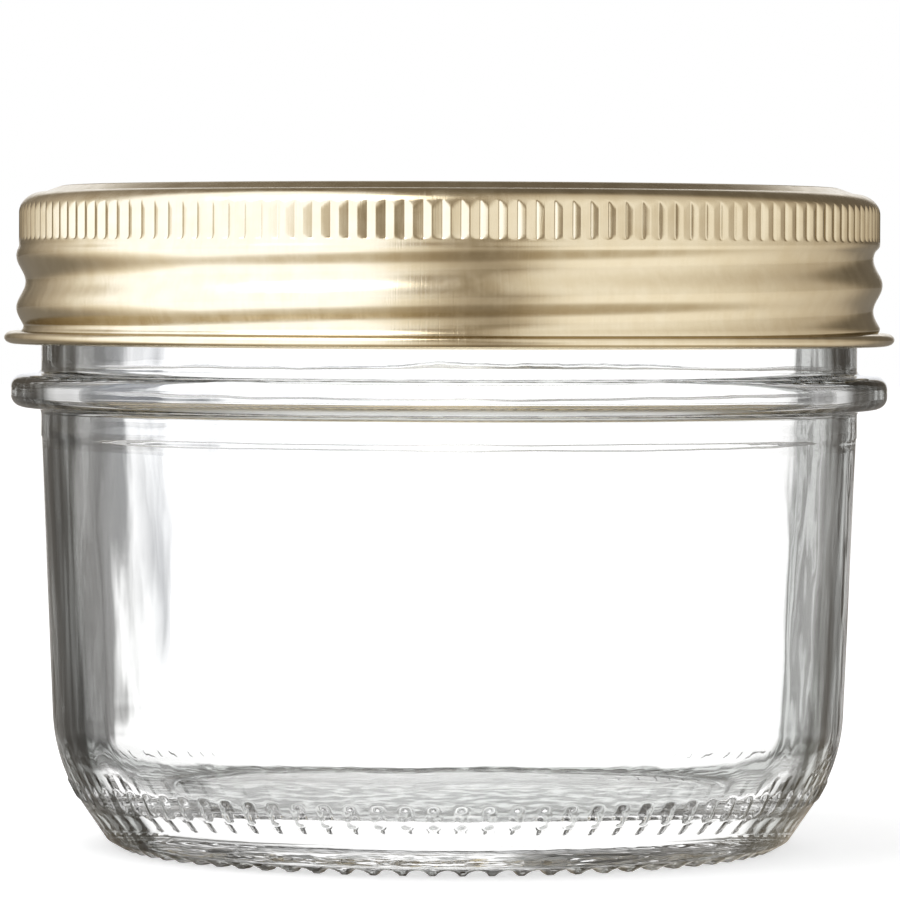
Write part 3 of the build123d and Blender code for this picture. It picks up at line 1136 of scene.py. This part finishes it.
mirroredLight = {
    "hotSide": (-0.20, -0.08),
    "hotLean": 0.22,
    "hotBack": (-0.17, 0.07),
    "hotRise": 0.75,
    "softSide": (-0.46, 0.16),
    "softAbove": 0.35,
    "softBelow": 1.7,
    "softTop": (0.3, 0.7),
    "softTopShare": 0.2,
    "softLeft": 1.2,
    "gapEnd": 0.36,
    "gapLean": 0.26,
    "gapSpan": (-0.5, 0.6),
    "gapFront": 0.32,
    "gapBack": 0.14,
    "rightSide": (-0.10, 0.22),
    "rightSpan": (-0.6, 0.6),
    "rightFarShare": 0.45,
    "rightBack": (0.6, 0.88),
    "rightRise": 0.45,
    "softRight": 0.74,
    "backdropSide": (0.16, 0.24),
    "backdropBack": (0.90, 0.95),
    "backdrop": 0.9,
    "brightest": 1.45,
    "shade": (1.0, 0.87, 0.70, 1.0),
    "shadeSpan": (0.15, 1.1),
    "glare": (1.0, 1.1, 1.35, 1.0),
    "glareSpan": (0.9, 1.6),
}


def makeStudioLight(light):
    # What metal mirrors in a direction from the jar: a hot panel on the left and a mild one on the right,
    # both leaning overhead and standing on a pale floor, with a dark gap between them and a backdrop behind
    maker, given, result = newTree("studioLight", "ShaderNodeTree", {
        "Direction": ("NodeSocketVector", None),
        "Hot": 1.0,
    }, {"Color": "NodeSocketColor"})
    way = maker.add("ShaderNodeVectorMath", {0: given["Direction"]}, operation="NORMALIZE").outputs[0]
    across, back, up = maker.split(way)
    steep = maker.math("ABSOLUTE", up)
    lean = maker.math("MULTIPLY_ADD", maker.math("MAXIMUM", up, 0.0), -light["hotLean"], light["hotLean"])
    hot = maker.ramp(maker.math("ADD", across, lean), *light["hotSide"], 1.0, 0.0)
    hotBack = maker.math("MULTIPLY_ADD", up, -light["hotRise"], back)
    hot = maker.math("MULTIPLY", hot, maker.ramp(hotBack, *light["hotBack"], 1.0, 0.0))
    above = maker.math("MULTIPLY", up, -light["softAbove"])
    lowered = maker.math("MAXIMUM", above, maker.math("MULTIPLY", up, -light["softBelow"]))
    soft = maker.ramp(maker.math("ADD", back, lowered), 0.0, 1.0, 1.0, 0.0)
    soft = maker.math("MULTIPLY", maker.ramp(across, *light["softSide"], 1.0, 0.0), soft)
    soft = maker.math("MULTIPLY", soft, maker.ramp(up, *light["softTop"], 1.0, light["softTopShare"]))
    gapEnd = maker.math("MULTIPLY_ADD", steep, -light["gapLean"], light["gapEnd"])
    right = maker.ramp(maker.math("SUBTRACT", across, gapEnd), *light["rightSide"])
    far = maker.ramp(back, *light["rightSpan"], 1.0, light["rightFarShare"], "LINEAR")
    rightBack = maker.math("MULTIPLY_ADD", steep, light["rightRise"], back)
    right = maker.math("MULTIPLY", right, far)
    right = maker.math("MULTIPLY", right, maker.ramp(rightBack, *light["rightBack"], 1.0, 0.0))
    behind = maker.ramp(maker.math("ABSOLUTE", across), *light["backdropSide"], 1.0, 0.0)
    behind = maker.math("MULTIPLY", behind, maker.ramp(back, *light["backdropBack"]))
    shone = maker.ramp(back, *light["gapSpan"], light["gapFront"], light["gapBack"])
    levels = (given["Hot"], light["softLeft"], light["softRight"], light["backdrop"])
    for part, level in zip((hot, soft, right, behind), levels):
        shone = maker.math("MULTIPLY_ADD", part, level, shone)
    shone = maker.math("MINIMUM", shone, light["brightest"])
    color = maker.blend(maker.ramp(shone, *light["shadeSpan"]), light["shade"], white)
    color = maker.blend(maker.ramp(shone, *light["glareSpan"]), color, light["glare"])
    maker.link(maker.dim(color, shone), result["Color"])
    return maker.tree


seenLight = {
    "throughGlass": 1.2,
    "clearLeft": (-0.17, -0.09),
    "clearRight": (0.30, 0.38),
    "stand": 0.06,
    "wall": 0.7,
    "wallSpan": (0.5, 0.7),
}


def makeGlassView(light):
    # What glass shows by how far to the side its light comes from: white, dark stands, then pale walls
    maker, given, result = newTree("glassView", "ShaderNodeTree", {"Side": 0.0}, {"Color": "NodeSocketColor"})
    left = maker.ramp(given["Side"], *light["clearLeft"])
    clear = maker.math("MULTIPLY", left, maker.ramp(given["Side"], *light["clearRight"], 1.0, 0.0))
    side = maker.math("ABSOLUTE", given["Side"])
    walls = maker.ramp(side, *light["wallSpan"], light["stand"], light["wall"])
    seen = maker.add("ShaderNodeMix", {0: clear, 2: walls, 3: light["throughGlass"]}).outputs[0]
    maker.link(maker.join(seen, seen, seen), result["Color"])
    return maker.tree


studio = {
    "floorSize": 6.0,
    "floorColor": (0.86, 0.86, 0.86, 1.0),
    "floorHidden": (0.12, 0.12, 0.12, 1.0),
    "floorRough": (0.78, 0.82),
    "floorScale": 30.0,
    "floorGlow": 0.56,
    # painted shadow on the floor round the jar, warmed with painted light from the gold
    "nearFloorPaintedShade": (0.44, 0.38, 0.28, 1.0),
    "nearSpan": (0.098, 0.128),
    "wholeLight": 0.62,
    "hotLeft": 1.3,
    "hotFloor": 0.35,
    "secondBounce": (0.44, 0.40, 0.32, 1.0),
    "topPlace": (-0.35, -0.25, 0.9),
    "topTarget": (0.0, 0.0, 0.03),
    "topSize": 0.7,
    "topPower": 2.1,
    "bounces": 24,  # light runs far inside the glass foot
}


def isRay(maker, name):
    return maker.add("ShaderNodeLightPath").outputs[name]


def gray(level):
    return (level, level, level, 1.0)


def pickByRay(maker, others, mirrored, through, camera):
    # A colour for each kind of ray. Light that comes through glass counts as glossy too, so it is picked
    # later, and light that metal mirrors a second time is dimmed.
    again = maker.blend(maker.ramp(isRay(maker, "Glossy Depth"), 1.0, 2.0), white, studio["secondBounce"])
    color = maker.blend(isRay(maker, "Is Glossy Ray"), others, maker.tint(mirrored, again))
    color = maker.blend(isRay(maker, "Is Transmission Ray"), color, through)
    return maker.blend(isRay(maker, "Is Camera Ray"), color, camera)


def makeFloor():
    mesh = bpy.data.meshes.new("floor")
    half = studio["floorSize"] / 2
    corners = [(-half, -half, 0), (half, -half, 0), (half, half, 0), (-half, half, 0)]
    mesh.from_pydata(corners, [], [(0, 1, 2, 3)])
    floor = bpy.data.objects.new("floor", mesh)
    bpy.context.scene.collection.objects.link(floor)
    material, maker, shader, place = newMaterial("paleFloor")
    cloud = maker.noise(place, studio["floorScale"])
    maker.link(maker.ramp(cloud, 0.0, 1.0, *studio["floorRough"]), shader["Roughness"])
    shader["Specular IOR Level"].default_value = 0.0
    second = maker.math("MAXIMUM", isRay(maker, "Is Glossy Ray"), isRay(maker, "Is Transmission Ray"))
    maker.link(maker.blend(second, studio["floorColor"], studio["floorHidden"]), shader["Base Color"])

    # The lid looks down on the floor from its own height, and the glass looks past it from its own radius.
    # Round the jar, the glow that the lid mirrors is dimmed and warmed: a painted shadow with painted warm
    # light from the gold
    lidHeight = (0.0, 0.0, lidLow.z)
    down = maker.add("ShaderNodeVectorMath", {0: place, 1: lidHeight}, operation="SUBTRACT").outputs[0]
    mirrored = useGroup(maker, studioLight, {"Direction": down, "Hot": studio["hotFloor"]})[0]
    length = maker.add("ShaderNodeVectorMath", {0: place}, operation="LENGTH").outputs["Value"]
    near = maker.blend(maker.ramp(length, *studio["nearSpan"]), studio["nearFloorPaintedShade"], white)
    across = maker.split(place)[0]
    past = maker.math("SUBTRACT", maker.math("ABSOLUTE", across), jarSizes["boreRadius"])
    past = maker.math("DIVIDE", maker.math("MAXIMUM", past, 0.0), length)
    side = maker.math("MULTIPLY", maker.math("SIGN", across), past)
    through = useGroup(maker, glassView, {"Side": side})[0]
    glow = pickByRay(maker, gray(0.0), maker.tint(mirrored, near), through, gray(studio["floorGlow"]))
    maker.link(glow, shader["Emission Color"])
    shader["Emission Strength"].default_value = 1.0
    floor.data.materials.append(material)


def makeWorld():
    world = bpy.data.worlds.new("studioWorld")
    bpy.context.scene.world = world
    world.use_nodes = True
    world.node_tree.nodes.clear()
    maker = TreeMaker(world.node_tree)
    way = maker.add("ShaderNodeTexCoord").outputs["Generated"]
    mirrored = useGroup(maker, studioLight, {"Direction": way, "Hot": studio["hotLeft"]})[0]
    through = useGroup(maker, glassView, {"Side": maker.split(way)[0]})[0]
    color = pickByRay(maker, gray(studio["wholeLight"]), mirrored, through, gray(1.0))
    background = maker.add("ShaderNodeBackground", {"Color": color, "Strength": 1.0})
    output = maker.add("ShaderNodeOutputWorld")
    maker.link(background.outputs[0], output.inputs["Surface"])


def makeTopLamp():
    lamp = bpy.data.lights.new("topLamp", "AREA")
    lamp.shape = "DISK"
    lamp.size = studio["topSize"]
    lamp.energy = studio["topPower"]
    holder = bpy.data.objects.new("topLamp", lamp)
    bpy.context.scene.collection.objects.link(holder)
    place, target = Vector(studio["topPlace"]), Vector(studio["topTarget"])
    holder.location = place
    holder.rotation_euler = (target - place).to_track_quat("-Z", "Y").to_euler()


cameraSizes = {
    "distance": 0.709,
    "height": 0.0661,
    "aside": 0.00006,
    "down": 1.6206,
    "roll": -0.2,
    "sensor": 36.0,
    "lens": 243.8,
    "clipStart": 0.01,
}


def makeCamera(sizes):
    camera = bpy.data.cameras.new("camera")
    camera.sensor_width = sizes["sensor"]
    camera.lens = sizes["lens"]
    camera.clip_start = sizes["clipStart"]
    holder = bpy.data.objects.new("camera", camera)
    bpy.context.scene.collection.objects.link(holder)
    holder.location = (sizes["aside"], -sizes["distance"], sizes["height"])
    holder.rotation_mode = "ZXY"
    holder.rotation_euler = (math.radians(90 - sizes["down"]), math.radians(sizes["roll"]), 0.0)
    bpy.context.scene.camera = holder


studioLight = makeStudioLight(mirroredLight)
glassView = makeGlassView(seenLight)
makeFloor()
makeWorld()
for limit in ("max_bounces", "glossy_bounces", "transmission_bounces"):
    setattr(bpy.context.scene.cycles, limit, studio["bounces"])
makeTopLamp()
makeCamera(cameraSizes)
bpy.context.scene.view_settings.view_transform = "Standard"
print("studio made")
